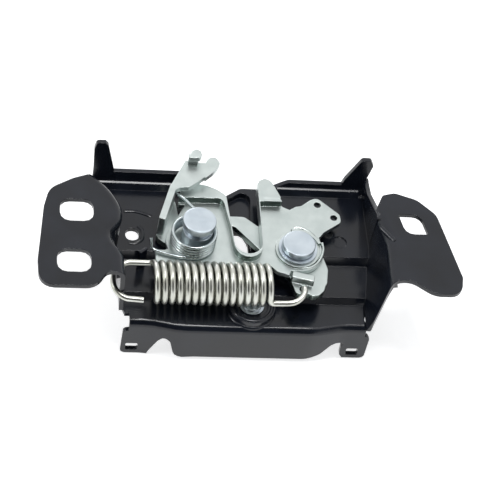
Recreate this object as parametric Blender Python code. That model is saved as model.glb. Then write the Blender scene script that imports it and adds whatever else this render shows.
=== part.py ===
"""Bonnet latch: a black stamped base that bolts to the front crossmember, with a zinc-plated striker
catch, release pawl and cover plate riveted on it, and the two springs that drive them.

Sizes are in millimetres and become metres where a mesh is made. The latch is modelled about the
striker line: X = 0 is the middle of the striker slot, Z = 0 is the upper face of the pan floor and +Y
is the way the slot opens. The empty "striker_line" then carries all of it to its place, so that the
world origin lies on the clamping face of the left ear, midway between its two bolt slots.
"""
import math

import bmesh
import bpy
from mathutils import Matrix, Vector

MM = 0.001
GAP = 0.3             # between pieces that touch on the real latch
OVER = 1.0            # how far a cutter runs past the face it leaves
SEAM = 0.03           # keeps the hidden faces of two joined sheets off one plane

# Base stamping
SHEET = 2.0
FAR_Y = 32.5          # inner face of the flange at the open end of the slot
NEAR_Y = -37.5        # outer face of the hanging flange, at its side tabs
BOW = 2.6             # how far the middle of the hanging flange stands in front of its tabs
BOW_EDGE_X = 44.0
BOW_FLAT_X = 26.0
STEP_1_Y = -4.5       # first step down in the pan floor
STEP_2_Y = -23.5      # second step down
STEP_RUN = 1.6        # length along Y of each step's slope
MID_Z = -4.0          # floor under the long spring
LOW_Z = -7.0          # floor in front of it
FAR_BEND = 4.0        # inner radius of the far bend
NEAR_BEND = 3.0
FLANGE_UP = 8.0       # height of the far flange above the pan floor
RIGHT_FLANGE_TRIM = [(13, 1, 0), (15.3, 1.4, 1), (22, 5.1, 3), (47, 5, 0), (47, 9.5, 0), (13, 9.5, 0)]
FLANGE_LOW_Z = -28.0  # lowest edge of the hanging flange
PAN_LEFT_FAR_X = -64.5
PAN_RIGHT_FAR_X = 57.5
BOW_STEPS = 4         # cross sections along each curved end of the bow
TAB_LEFT_X = -52.2    # outer edges of the two small tabs on the hanging flange
TAB_RIGHT_X = 53.8
TAB_TOP_Z = -12.5
TAB_CORNER = 2.2
MOUTH_LEFT_X = -22.0  # the far flange stops here on each side of the striker slot
MOUTH_RIGHT_X = 14.5
MOUTH_DEEP = 9.0      # how far the floor is cut back there
MOUTH_PANEL = [(-23, 22.5, 0), (15.5, 22.5, 0), (15.5, 32.5, 1), (0.5, 32.5, 4), (-7, 25.5, 3), (-23, 25, 0)]
POCKET_DEEP = 3.0     # pressed pocket behind the slot's mouth
POCKET = [(-9, 6, 3), (3.5, 6, 3), (5.2, 28, 4), (1.4, 30.5, 3), (-8.5, 23.5, 3)]
POCKET_SHEET = [(-11, 4, 4), (5.5, 4, 4), (7.4, 29, 5), (0.6, 32.3, 4), (-10.8, 24.5, 4)]

# Side walls as (y, x at the foot, x at the top), both on the wall's inner face
LEFT_WALL = (
    (21, -60, -65.5), (12.5, -58.5, -58), (3.5, -56.5, -54), (-4, -55.5, -54.8), (-9.5, -55.2, -58.6),
    (-16, -54.3, -57.2), (-20, -53.4, -54.6), (-27, -52.5, -53.8), (-41, -52.5, -53.8))
RIGHT_WALL = (
    (17, 55.5, 56), (4, 55.5, 55.5), (-8, 54, 57.5), (-20, 52, 57.5), (-28, 51, 57), (-41, 50.5, 56.5))
RIGHT_FAR_WALL_X = 55.4
RIGHT_FAR_WALL_Y = 2.0
EAR_Z = 20.0          # clamping face of both ears above the pan floor
EAR_BEND = 4.0
EAR_REACH = 96.0
EAR_STEP = 3.0        # between the cross sections of an ear
LEFT_EAR = [
    (-49, 21, 0), (-65.5, 21, 2), (-74.4, 17.6, 10), (-84.5, 11.5, 9), (-86.9, 1.4, 10), (-89.6, -26.5, 6),
    (-89.2, -39.6, 9), (-66, -39.4, 8), (-61.5, -31.8, 4), (-49, -32, 0)]
RIGHT_EAR = [
    (49, 4, 0), (54, 4.5, 1), (59, 14.5, 1.5), (64.5, 16, 4), (74, 12.5, 8), (81.5, 4.5, 8), (83, -3, 8),
    (88.2, -29.5, 4), (86.5, -38.5, 7), (75, -38.6, 10), (65.5, -31.2, 8), (58, -32.5, 6), (52.5, -39.5, 1),
    (49, -39.5, 0)]
LEFT_FINGER = [
    (-64.5, 2, 0), (-56, 2, 0), (-55.6, 9, 2), (-59.3, 24.5, 1.5), (-60.6, 26, 1), (-64.4, 26, 1.5),
    (-65.2, 22, 2), (-64.5, 9, 2)]
RIGHT_FINGER = [
    (45, 2, 0), (57.5, 2, 0), (56.2, 10, 3), (57.6, 18.5, 2), (56, 21.5, 1.5), (52, 21.5, 1.5),
    (46.4, 8.2, 1)]

# Holes in the base
BOLT_SLOT = (14.0, 11.8)
BOLT_SLOT_CORNER = 4.2
LEFT_SLOTS = ((-73.2, 0.2), (-74.8, -26.6))
RIGHT_SLOT_CORNERS = [(64.6, 4.2, 0.8), (74.4, 4.2, 4.5), (76.6, -6.6, 1.0), (66.8, -6.8, 4.5)]
PAN_HOLE_AT = (-48.0, 4.4)
PAN_HOLE = (5.8, 6.6)
PAN_HOLE_CORNER = 2.6
DIMPLES = ((42.6, 4.0, 3.2), (37.5, 8.3, 2.2))
DIMPLE_DEEP = 0.6
SLOT_WINDOW = [(-4.6, 9.5, 2), (3.2, 9.5, 2), (3.2, -1, 1), (1, -8, 2), (-4.6, -8, 2)]
LEFT_ARCH = [
    (-41.2, -29.5, 0), (-40.2, -25.8, 1), (-37, -18, 2), (-34.8, -14.8, 2.5), (-31.9, -17.2, 2),
    (-29.2, -27.2, 4), (-21, -26.4, 8), (0, -26.4, 0), (0, -29.5, 0)]
RIGHT_ARCH = [
    (-1, -29.5, 0), (-1, -26.4, 0), (28, -26.4, 6), (33.5, -24.2, 4), (37.6, -18.6, 3), (40, -17.2, 2),
    (43.5, -17.2, 1), (42.4, -20, 1), (42.6, -25.5, 1.5), (45, -29.5, 0)]
TAB_NOTCH = 2.4       # how far each tab is cut back above it
TAB_HOLES = ((-47.6, -23.6), (47.8, -23.6))
TAB_HOLE = (5.2, 4.4)
HOOK_WINDOW = (7.0, 6.0)      # where the long spring's hook goes out through the left wall
HOOK_WINDOW_OFF = (5.6, 1.8)  # its middle from the spring's axis
HOOK_NOTCH = (7.2, 3.8)       # where the hook comes back round the wall's end
HOOK_NOTCH_OFF = (-6.6, -1.3)

# Mechanism, upwards from the pan floor
CATCH_AT = (21.6, -7.5)
PAWL_AT = (-22.0, -4.2)
BOSS_R = 10.0
WASHER_THICK = 0.8
WASHER_R = 7.5
CATCH_THICK = 3.2
PAWL_THICK = 3.0
COVER_THICK = 2.2
RIM_UP = 3.5          # how far the cover's plateaus and slot rim stand above its floor
SHANK_R = 2.8
BUSH_WALL = 1.0
RUNNING_FIT = 0.08
HEAD_R = 7.1
HEAD_WASHER_R = 8.4
HEAD_THICK = 3.0
HEAD_WASHER = 0.9
COLLAR_R = 5.4
COLLAR_UP = 11.2
TAIL_R = 5.0
TAIL_THICK = 1.8
WASHER_Z = GAP
CATCH_Z = WASHER_Z + WASHER_THICK + GAP
COVER_Z = CATCH_Z + CATCH_THICK + GAP
FLOOR_Z = COVER_Z + COVER_THICK
RIM_Z = FLOOR_Z + RIM_UP
BORE_R = SHANK_R + GAP
BUSH_R = BORE_R + BUSH_WALL
HUB_BORE_R = BUSH_R + RUNNING_FIT

# Cover plate
SLOT_END_X = 0.1
SLOT_END_Y = -6.5
SLOT_HALF = 6.0       # half the width of the striker slot inside the rim
SLOT_MOUTH_HALF = 7.8
SLOT_MOUTH_Y = 19.0
RIM_WALL = 2.2
COVER_LOBE_R = 11.0
LEFT_LOBE_R = 12.7
SEAT_R = 9.6
SEAT_UP = 0.9
RIB_UP = 1.6
SWITCH_HOLES = ((33.0, 18.6), (39.6, 11.6))
SWITCH_HOLE_R = 1.6
RIB_WIDE = 1.4
COVER_LEFT_X = -39.5
COVER_NEAR_RIGHT = [(9.5, -16.2), (12, -19), (17, -20.6), (17.9, -18.4)]
COVER_FAR = [
    (32.2, 0.4, 0.5), (34.2, 3.2, 2), (42.6, 9.2, 2.5), (42.4, 13.6, 2.5), (33.2, 22.6, 3), (30, 21.2, 3),
    (25.8, 17.7, 3), (21.2, 16.6, 0.6), (20.4, 18.8, 0.6), (15.4, 20.8, 0.6), (8.8, 20.8, 0), (8.8, 8, 0),
    (-8.6, 8, 0), (-8.6, 17, 0), (-29, 17, 0.5)]
COVER_CORNER_Y = -9.3
LEFT_PLATEAU = [
    (-28.6, 17, 1), (-27, 22, 2.5), (-20.5, 25.2, 3), (-16, 24.4, 4), (-11.6, 22.4, 3), (-8, 19.4, 2.5),
    (-7.9, 12, 0.3), (-9.9, 12, 0.3), (-10.6, 16.4, 2), (-13, 17.8, 1)]
RIGHT_PLATEAU = [
    (7.2, 18.6, 0.3), (16.6, 18.4, 0.8), (14.2, 25, 2), (12.6, 28.4, 1.5), (10.2, 29.8, 2), (7.2, 28.2, 1.5)]
LEFT_JOGGLE = [
    (-28.2, 15.8, 0.3), (-13.4, 16.5, 1), (-11.7, 15.6, 1.5), (-11, 12.2, 0.3), (-9.2, 12.2, 0.3),
    (-9.2, 18.4, 0.3), (-28.2, 18.4, 0.3)]
RIGHT_JOGGLE = [(7.4, 18.2, 0), (16.2, 18, 0), (15.4, 20.6, 0), (7.4, 20.6, 0)]

# Catch and release pawl
CATCH_HUB_R = 9.5
CATCH_OUTLINE = [
    (-9.6, 12.6, 1.8), (0.6, 12.6, 3), (13, 1.5, 5), (31, -2.5, 5), (33.4, -9, 4), (34.8, -15, 5),
    (33.4, -23.5, 3), (29.3, -26, 2.5), (26.8, -24.6, 1), (25.8, -28.6, 1.2), (19.5, -28.6, 1.5),
    (17.6, -20, 2), (11, -12, 4), (-3.8, 6.6, 1.5), (-9.6, 8.6, 1.5)]
CATCH_BAR = [(18.6, -18.9, 0.4), (27.8, -21.4, 0.4), (27, -24.6, 0.4), (17.8, -22.2, 0.4)]
CATCH_BAR_Z = 8.0
HOOK_AT = (22.9, -26.0)
HOOK_CLEAR = 0.5
PAWL_HUB_R = 5.8
PAWL_PLATE = [
    (-21, -9.6, 3), (-27.5, -9, 4), (-37.2, -1.5, 2), (-38.3, 1.2, 1), (-32.2, 20.6, 1), (-29.2, 20, 1),
    (-27.5, 6, 5), (-20, 1.3, 3)]
PAWL_FLANGE = [(-32.2, 20.6, 1), (-38.3, 1.2, 0.5), (-35.6, 0.4, 0.5), (-29.5, 19.8, 1)]
FORK_Z = 15.5
FORK_THICK = 2.5
FORK_TIP_UP = 4.5     # the tip of its first finger is joggled up by this
FORK_OUTLINE = [
    (-31.9, 20.4, 1), (-25.2, 34, 1), (-19.6, 34, 0.4), (-19.6, 33, 0.4), (-14, 33, 2), (-12.6, 36.6, 2),
    (-9.6, 33.4, 2), (-12, 30, 2), (-20.5, 22, 3), (-24.3, 18.9, 2), (-28.4, 18.4, 1.5), (-30.6, 16.9, 0.3)]
FORK_NECK = [(-24.3, 32.3, 0.3), (-24.1, 34.1, 0.3), (-19.8, 34.1, 0.3), (-19.8, 32.3, 0.3)]
FORK_TIP = [(-23.6, 32.4, 0.3), (-23, 35.2, 1.6), (-20.8, 37.1, 1.8), (-19.1, 35.7, 1.4), (-20, 32.4, 0.3)]

# Rivet in the ring pressed under the long spring
LOWER_AT = (2.0, -28.2)
LOWER_BOSS_R = 10.2
LOWER_DISH_R = 7.0
LOWER_DISH_DEEP = 0.9
LOWER_HEAD_R = 4.2
LOWER_FLAT_R = 3.6
LOWER_HEAD_UP = 1.2
LOWER_TAIL = 1.4
LOWER_SHANK_R = 2.4
LOWER_UNDER_Z = MID_Z - SHEET - GAP
LOWER_SEAT_Z = MID_Z - LOWER_DISH_DEEP + GAP
LOWER_TOP_Z = LOWER_SEAT_Z + LOWER_HEAD_UP

# Springs
COIL_STEPS = 12       # points in one turn
LONG_WIRE = 2.2
LONG_MEAN_R = 8.1
LONG_TURNS = 15.5
LONG_AXIS_Y = -25.8
COIL_CLEAR = 0.4      # between the long spring and the rivet head under it
LONG_AXIS_Z = LOWER_TOP_Z + COIL_CLEAR + LONG_WIRE / 2 + LONG_MEAN_R
LONG_START_X = -40.9
LONG_END_X = 7.8
LONG_BEND = 2.0
HOOK_RISE = 30        # degrees of the first turn that the left hook leaves out
HOOK_LOOP_X = -49.7
HOOK_END = (-45.2, -34.2, 4.6)
LONG_LEG = [(17.5, -34.2, 5.4), (21.4, -31.9, 6.3), (22.9, -29, 6.9), (22.9, -26.9, 6.1), (22.9, -26, 2.4),
            (22.9, -26, -1.2)]
COIL_WIRE = 1.6
COIL_OFF = (-1.5, -0.9)       # the coil leans off the rivet's axis
COIL_MEAN_R = 9.1
COIL_TURNS = 4.4
COIL_PITCH = 1.65
TORSION_LEG = [(-41.7, -7.4, 4), (-41.3, -8.6, 2), (-40.4, -10.2, 0.2), (-32, -13.2, 0)]
TORSION_HOOK = [(-22.9, 7.3, -0.4), (-26.6, 12.9, -1.2), (-28.7, 16, -2.4), (-29, 17.9, -3.8)]
SPRING_TAB = [(-46.6, -11.2, 0.3), (-43.4, -8.6, 0.3), (-42.6, -9.6, 0.3), (-45.8, -12.2, 0.3)]
SPRING_TAB_Z = 8.0

LEFT_DATUM = (Vector((*LEFT_SLOTS[0], EAR_Z)) + Vector((*LEFT_SLOTS[1], EAR_Z))) / 2


def clear_scene():
    for old in list(bpy.data.objects):
        bpy.data.objects.remove(old, do_unlink=True)


def material(name, colour, roughness, metallic):
    made = bpy.data.materials.new(name)
    made.use_nodes = True
    made.diffuse_color = (*colour, 1.0)
    shader = made.node_tree.nodes["Principled BSDF"]
    shader.inputs["Base Color"].default_value = (*colour, 1.0)
    shader.inputs["Roughness"].default_value = roughness
    shader.inputs["Metallic"].default_value = metallic
    return made


def rounded(corners, steps=3):
    """An outline whose corners (x, y, radius) become arcs."""
    outline = []
    count = len(corners)
    for i, (x, y, radius) in enumerate(corners):
        here = Vector((x, y))
        back = Vector(corners[i - 1][:2]) - here
        ahead = Vector(corners[(i + 1) % count][:2]) - here
        half = back.angle(ahead) / 2
        if radius <= 0 or half > math.radians(89):
            outline.append((x, y))
            continue
        reach = min(radius / math.tan(half), back.length * 0.48, ahead.length * 0.48)
        radius = reach * math.tan(half)
        centre = here + (back.normalized() + ahead.normalized()).normalized() * (radius / math.sin(half))
        start = here + back.normalized() * reach - centre
        end = here + ahead.normalized() * reach - centre
        turn = start.angle_signed(end)
        for k in range(steps + 1):
            spoke = start.copy()
            spoke.rotate(Matrix.Rotation(-turn * k / steps, 2))
            outline.append(tuple(centre + spoke))
    return outline


def circle(at, radius, steps=24):
    return [(at[0] + radius * math.cos(2 * math.pi * k / steps),
             at[1] + radius * math.sin(2 * math.pi * k / steps)) for k in range(steps)]


def box_outline(at, size, corner):
    """A rectangle with round corners about a point."""
    w, h = size[0] / 2, size[1] / 2
    x, y = at
    return rounded([(x + w * i, y + h * j, corner) for i, j in ((-1, -1), (1, -1), (1, 1), (-1, 1))])


def corner_waste(x, z, out, up, radius):
    """What comes off to round the corner at (x, z) of a sheet that lies behind it."""
    edge = [(x - out * radius * (1 - math.cos(a)), z - up * radius * (1 - math.sin(a)))
            for a in (math.radians(22.5 * k) for k in range(5))]
    outside = [(x - out * radius, z + up * OVER), (x + out * OVER, z + up * OVER),
               (x + out * OVER, z - up * radius)]
    return edge + outside


def new_object(name, bm):
    bmesh.ops.recalc_face_normals(bm, faces=bm.faces)
    bmesh.ops.scale(bm, vec=(MM, MM, MM), verts=bm.verts)
    mesh = bpy.data.meshes.new(name)
    bm.to_mesh(mesh)
    bm.free()
    made = bpy.data.objects.new(name, mesh)
    bpy.context.scene.collection.objects.link(made)
    return made


def prism(name, outline, z0, z1, plane="XY"):
    """An outline drawn in a plane and extruded across it from z0 to z1."""
    order = {"XY": (0, 1, 2), "XZ": (0, 2, 1), "YZ": (2, 0, 1)}[plane]
    bm = bmesh.new()
    rings = []
    for height in (z0, z1):
        rings.append([bm.verts.new([(a, b, height)[i] for i in order]) for a, b in outline])
        bm.faces.new(rings[-1])
    skin(bm, *rings)
    return new_object(name, bm)


def skin(bm, ring, following):
    """Faces between two rings of as many points."""
    for k in range(len(ring)):
        bm.faces.new((ring[k - 1], ring[k], following[k], following[k - 1]))


def turned(name, profile, at, steps=24):
    """A profile of (radius, z) spun about a vertical axis. A profile off the axis makes a ring."""
    bm = bmesh.new()
    rings = []
    for radius, z in profile:
        if radius == 0:
            rings.append([bm.verts.new((at[0], at[1], z))])
        else:
            rings.append([bm.verts.new((x, y, z)) for x, y in circle(at, radius, steps)])
    closed = profile[0][0] > 0
    pairs = list(zip(rings, rings[1:] + ([rings[0]] if closed else [])))
    for a, b in pairs[:len(rings) if closed else len(rings) - 1]:
        for k in range(steps):
            n = (k + 1) % steps
            corners = [a[k % len(a)], a[n % len(a)], b[n % len(b)], b[k % len(b)]]
            bm.faces.new(list(dict.fromkeys(corners)))
    return new_object(name, bm)


def swept_sheet(name, stations, section):
    """A closed section of (y, z) at each station x, joined into one body."""
    bm = bmesh.new()
    rings = [[bm.verts.new((x, y, z)) for y, z in section(x)] for x in stations]
    for a, b in zip(rings, rings[1:]):
        skin(bm, a, b)
    bm.faces.new(rings[0])
    bm.faces.new(rings[-1])
    return new_object(name, bm)


def thick_line(path, thick, side=1):
    """The outline of a sheet whose one face follows the path, with its thickness to one side."""
    offset = []
    for i, point in enumerate(path):
        here = Vector(point)
        before = (here - Vector(path[i - 1])).normalized() if i else None
        after = (Vector(path[i + 1]) - here).normalized() if i < len(path) - 1 else None
        before = before or after
        after = after or before
        normal = Vector((-before.y - after.y, before.x + after.x)).normalized()
        stretch = thick / max(0.5, normal.dot(Vector((-before.y, before.x))))
        offset.append(tuple(here + normal * stretch * side))
    return list(path) + offset[::-1]


def arc(centre, radius, start, end, steps=4):
    """Points along an arc, angles in degrees."""
    out = []
    for k in range(steps + 1):
        angle = math.radians(start + (end - start) * k / steps)
        out.append((centre[0] + radius * math.cos(angle), centre[1] + radius * math.sin(angle)))
    return out


def join(target, *others):
    for other in others:
        add_boolean(target, other, "UNION")


def cut(target, *cutters):
    for cutter in cutters:
        add_boolean(target, cutter, "DIFFERENCE")


def add_boolean(target, tool, operation):
    tool.hide_render = True
    tool.display_type = "WIRE"
    modifier = target.modifiers.new(operation.lower(), "BOOLEAN")
    modifier.operation = operation
    modifier.solver = "EXACT"
    modifier.object = tool


def wire(name, points, radius):
    """A round wire along points, with closed ends."""
    curve = bpy.data.curves.new(name, "CURVE")
    curve.dimensions = "3D"
    curve.bevel_depth = radius * MM
    curve.bevel_resolution = 1
    curve.use_fill_caps = True
    spline = curve.splines.new("POLY")
    spline.points.add(len(points) - 1)
    for slot, point in zip(spline.points, points):
        slot.co = (point[0] * MM, point[1] * MM, point[2] * MM, 1)
    made = bpy.data.objects.new(name, curve)
    bpy.context.scene.collection.objects.link(made)
    return made


def smooth_path(points, step):
    """Evenly spaced points along a smooth curve through the given ones (Catmull-Rom)."""
    given = [Vector(p) for p in points]
    given = [2 * given[0] - given[1]] + given + [2 * given[-1] - given[-2]]
    out = []
    for a, b, c, d in zip(given, given[1:], given[2:], given[3:]):
        count = max(1, round((c - b).length / step))
        for k in range(count):
            t = k / count
            out.append(0.5 * (2 * b + (c - a) * t + (2 * a - 5 * b + 4 * c - d) * t ** 2
                              + (3 * b - a - 3 * c + d) * t ** 3))
    return out + [given[-2]]


def bow(x):
    """How far the hanging flange stands forward at x."""
    t = min(1.0, max(0.0, (BOW_EDGE_X - abs(x)) / (BOW_EDGE_X - BOW_FLAT_X)))
    return BOW * t * t * (3 - 2 * t)


def base_section(x):
    """The base stamping cut across, as its upper face and the sheet under it."""
    near = NEAR_Y - bow(x) + SHEET
    upper = [(FAR_Y, FLANGE_UP)] + arc((FAR_Y - FAR_BEND, FAR_BEND), FAR_BEND, 0, -90)
    upper += [(STEP_1_Y, 0), (STEP_1_Y - STEP_RUN, MID_Z), (STEP_2_Y, MID_Z), (STEP_2_Y - STEP_RUN, LOW_Z)]
    upper += arc((near + NEAR_BEND - SHEET, LOW_Z - NEAR_BEND), NEAR_BEND, 90, 180)
    upper += [(near - SHEET, FLANGE_LOW_Z)]
    return thick_line(upper, SHEET)


def pan_plan():
    """The pan seen from above: its two long sides follow the feet of the walls."""
    left = [(foot - SHEET / 2, y, 4) for y, foot, top in LEFT_WALL[:-1]]
    right = [(foot + SHEET / 2, y, 4) for y, foot, top in reversed(RIGHT_WALL[:-1])]
    far = FAR_Y + SHEET + OVER
    near = NEAR_Y - BOW - OVER
    tabs = [(LEFT_WALL[-1][1] + 1, NEAR_Y + 4, 2), (TAB_LEFT_X, NEAR_Y + 1, 0.5), (TAB_LEFT_X, near, 0),
            (TAB_RIGHT_X, near, 0), (TAB_RIGHT_X, NEAR_Y + 1, 0.5), (RIGHT_WALL[-1][1], NEAR_Y + 4, 2)]
    far_edge = [(PAN_RIGHT_FAR_X, FAR_Y - 3, 2), (PAN_RIGHT_FAR_X, far, 0), (PAN_LEFT_FAR_X, far, 0),
                (PAN_LEFT_FAR_X, FAR_Y - 3, 2)]
    return rounded(far_edge + left + tabs + right)


def ear(name, rows, side, outline):
    """A side wall with its ear bent out at the top, trimmed to the ear's outline."""
    bm = bmesh.new()
    rings = []
    for y, foot, top in smooth_path(rows, EAR_STEP):
        foot, top = foot * side, top * side
        path = [(foot, foot_z(y)), (top, EAR_Z - EAR_BEND)]
        path += arc((top + EAR_BEND, EAR_Z - EAR_BEND), EAR_BEND, 180, 90)
        path += [(EAR_REACH, EAR_Z)]
        rings.append([bm.verts.new((x * side, y, z)) for x, z in thick_line(path, SHEET, -1)])
    for a, b in zip(rings, rings[1:]):
        skin(bm, a, b)
    bm.faces.new(rings[0])
    bm.faces.new(rings[-1])
    made = new_object(name, bm)
    add_boolean(made, prism(name + "_outline", outline, LOW_Z - 2 * OVER, EAR_Z + OVER), "INTERSECT")
    return made


def foot_z(y):
    """Underside of the pan floor where a wall stands on it."""
    return (MID_Z if y < STEP_1_Y - STEP_RUN / 2 else 0) - SHEET + 0.2


def press_boss(base, name, at, radius, top, depth):
    """Presses a round boss into the floor: the floor inside it goes, and a cup open below takes its place."""
    cut(base, prism(name + "_clear", circle(at, radius - SHEET / 2), top - depth - OVER, top + OVER))
    made = prism(name, circle(at, radius), top - depth - SEAM, top)
    cut(made, prism(name + "_hollow", circle(at, radius - SHEET), top - depth - OVER, top - SHEET))
    join(base, made)


def base_plate():
    bow_xs = [BOW_FLAT_X + (BOW_EDGE_X - BOW_FLAT_X) * i / BOW_STEPS for i in range(BOW_STEPS + 1)]
    stations = [PAN_LEFT_FAR_X - OVER] + [-x for x in reversed(bow_xs)] + bow_xs + [PAN_RIGHT_FAR_X + OVER]
    base = swept_sheet("base_plate", stations, base_section)
    add_boolean(base, prism("pan_outline", pan_plan(), FLANGE_LOW_Z - OVER, FLANGE_UP + OVER), "INTERSECT")

    mouth_near, mouth_far = FAR_Y - MOUTH_DEEP, FAR_Y + SHEET + OVER
    mouth = [(MOUTH_LEFT_X, mouth_near), (MOUTH_RIGHT_X, mouth_near), (MOUTH_RIGHT_X, mouth_far),
             (MOUTH_LEFT_X, mouth_far)]
    cut(base, prism("mouth_cut", mouth, -SHEET - OVER, FLANGE_UP + OVER))
    cut(base, prism("flange_trim", rounded(RIGHT_FLANGE_TRIM), FAR_Y - FAR_BEND - OVER, mouth_far, "XZ"))
    join(base, prism("mouth_panel", rounded(MOUTH_PANEL), SEAM - SHEET, 0))
    join(base, prism("pocket_body", rounded(POCKET_SHEET), -POCKET_DEEP - SHEET, -SEAM))
    cut(base, prism("pocket_hollow", rounded(POCKET), -POCKET_DEEP, OVER))

    for at in (CATCH_AT, PAWL_AT):
        press_boss(base, "boss_%d" % at[0], at, BOSS_R, 0, SHEET - MID_Z)
    ring_depth = SHEET + MID_Z - LOW_Z
    press_boss(base, "lower_boss", LOWER_AT, LOWER_BOSS_R, MID_Z, ring_depth)
    cut(base, prism("lower_dish", circle(LOWER_AT, LOWER_DISH_R), MID_Z - LOWER_DISH_DEEP, MID_Z + 0.5))

    join(base, ear("left_ear", LEFT_WALL, -1, rounded(LEFT_EAR, 5)))
    join(base, ear("right_ear", RIGHT_WALL, 1, rounded(RIGHT_EAR, 5)))
    foot = foot_z(FAR_Y) + SEAM
    far_wall = [(FAR_Y + 0.5, foot), (FAR_Y + 0.5, FLANGE_UP), (FAR_Y - 8, FLANGE_UP + 1),
                (RIGHT_FAR_WALL_Y + 3, EAR_Z - 1), (RIGHT_FAR_WALL_Y, EAR_Z - 1), (RIGHT_FAR_WALL_Y, foot)]
    join(base, prism("right_far_wall", far_wall, RIGHT_FAR_WALL_X, RIGHT_FAR_WALL_X + SHEET, "YZ"))
    for side_name, finger in (("left", LEFT_FINGER), ("right", RIGHT_FINGER)):
        join(base, prism(side_name + "_finger", rounded(finger, 4), FAR_Y, FAR_Y + SHEET, "XZ"))

    slots = [box_outline(at, BOLT_SLOT, BOLT_SLOT_CORNER) for at in LEFT_SLOTS]
    slots.append(rounded(RIGHT_SLOT_CORNERS))
    for i, slot in enumerate(slots):
        cut(base, prism("bolt_slot_%d" % i, slot, EAR_Z - SHEET - OVER, EAR_Z + OVER))
    for off, size in ((HOOK_WINDOW_OFF, HOOK_WINDOW), (HOOK_NOTCH_OFF, HOOK_NOTCH)):
        opening = box_outline((LONG_AXIS_Y + off[0], LONG_AXIS_Z + off[1]), size, 1.2)
        cut(base, prism("hook_opening", opening, PAN_LEFT_FAR_X, TAB_LEFT_X + SHEET, "YZ"))
    cut(base, prism("pan_hole", box_outline(PAN_HOLE_AT, PAN_HOLE, PAN_HOLE_CORNER), -SHEET - OVER, OVER))
    for x, y, radius in DIMPLES:
        cut(base, prism("dimple_%d" % x, circle((x, y), radius, 16), -DIMPLE_DEEP, OVER))
    cut(base, prism("slot_window", rounded(SLOT_WINDOW), -POCKET_DEEP - SHEET - 2 * OVER, OVER))
    near0, near1 = NEAR_Y - BOW - 2, NEAR_Y + 6
    for edge, out in ((TAB_LEFT_X, -1), (TAB_RIGHT_X, 1)):
        inner, outer = edge - TAB_NOTCH * out, edge + OVER * out
        notch = [(inner, TAB_TOP_Z), (outer, TAB_TOP_Z), (outer, LOW_Z + OVER), (inner, LOW_Z + OVER)]
        cut(base, prism("tab_notch", notch, near0, near1 - 1, "XZ"))
        for z, up in ((TAB_TOP_Z, 1), (FLANGE_LOW_Z, -1)):
            cut(base, prism("tab_corner", corner_waste(edge, z, out, up, TAB_CORNER), near0, near1 - 1, "XZ"))
    cut(base, prism("left_arch", rounded(LEFT_ARCH), near0, near1, "XZ"))
    cut(base, prism("right_arch", rounded(RIGHT_ARCH), near0, near1, "XZ"))
    for i, at in enumerate(TAB_HOLES):
        cut(base, prism("tab_hole_%d" % i, box_outline(at, TAB_HOLE, 0.6), near0, near1, "XZ"))
    for i, at in enumerate((CATCH_AT, PAWL_AT)):
        cut(base, prism("rivet_hole_%d" % i, circle(at, BORE_R), MID_Z - SHEET - OVER, OVER))
    lower_hole = circle(LOWER_AT, LOWER_SHANK_R + GAP)
    cut(base, prism("lower_rivet_hole", lower_hole, LOW_Z - SHEET - OVER, MID_Z + OVER))
    join(base, prism("spring_tab", rounded(SPRING_TAB), MID_Z - SHEET + 0.3, SPRING_TAB_Z))
    base.data.materials.append(BLACK)
    return base


def cover_plate():
    outline = [(COVER_LEFT_X, COVER_NEAR_RIGHT[0][1])] + COVER_NEAR_RIGHT
    outline += arc(CATCH_AT, COVER_LOBE_R, -95, -5, 6)
    outline += rounded(COVER_FAR, 3)
    outline += arc(PAWL_AT, LEFT_LOBE_R, 140, 200, 5)
    outline += [(COVER_LEFT_X + 4, COVER_CORNER_Y), (COVER_LEFT_X, COVER_CORNER_Y)]
    cover = prism("cover_plate", outline, COVER_Z, FLOOR_Z)
    join(cover, prism("left_plateau", rounded(LEFT_PLATEAU), RIM_Z - COVER_THICK, RIM_Z))
    join(cover, prism("right_plateau", rounded(RIGHT_PLATEAU), RIM_Z - COVER_THICK, RIM_Z))
    join(cover, prism("left_joggle", rounded(LEFT_JOGGLE), COVER_Z, RIM_Z - 0.2))
    join(cover, prism("right_joggle", rounded(RIGHT_JOGGLE), COVER_Z, RIM_Z - 0.2))
    join(cover, prism("slot_rim", thick_line(slot_path(), RIM_WALL, -1), COVER_Z, RIM_Z))
    cut(cover, prism("striker_slot", slot_path(), COVER_Z - OVER, RIM_Z + OVER))
    join(cover, prism("catch_seat", circle(CATCH_AT, SEAT_R), COVER_Z + 0.4, FLOOR_Z + SEAT_UP))
    rib = arc(CATCH_AT, COVER_LOBE_R - RIB_WIDE, 18, 100, 8) + arc(CATCH_AT, COVER_LOBE_R, 100, 18, 8)
    join(cover, prism("seat_rib", rib, COVER_Z + 0.4, FLOOR_Z + RIB_UP))
    for i, at in enumerate((CATCH_AT, PAWL_AT)):
        cut(cover, prism("cover_bore_%d" % i, circle(at, BORE_R), COVER_Z - OVER, RIM_Z + OVER))
    for i, at in enumerate(SWITCH_HOLES):
        cut(cover, prism("switch_hole_%d" % i, circle(at, SWITCH_HOLE_R, 16), COVER_Z - OVER, RIM_Z))
    cover.data.materials.append(ZINC)
    return cover


def slot_path():
    """The inner edge of the striker slot, from the left finger round its end to the right finger."""
    arc_points = arc((SLOT_END_X, SLOT_END_Y), SLOT_HALF, 180, 360, 10)
    left_end = (SLOT_END_X - SLOT_MOUTH_HALF, SLOT_MOUTH_Y)
    right_end = (SLOT_END_X + SLOT_HALF + 0.6, SLOT_MOUTH_Y + 8)
    return [left_end] + arc_points + [right_end]


def at_pivot(made, at):
    """Puts an object's origin on its joint axis."""
    shift = Vector((at[0], at[1], 0)) * MM
    made.data.transform(Matrix.Translation(-shift))
    made.location = shift
    return made


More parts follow.
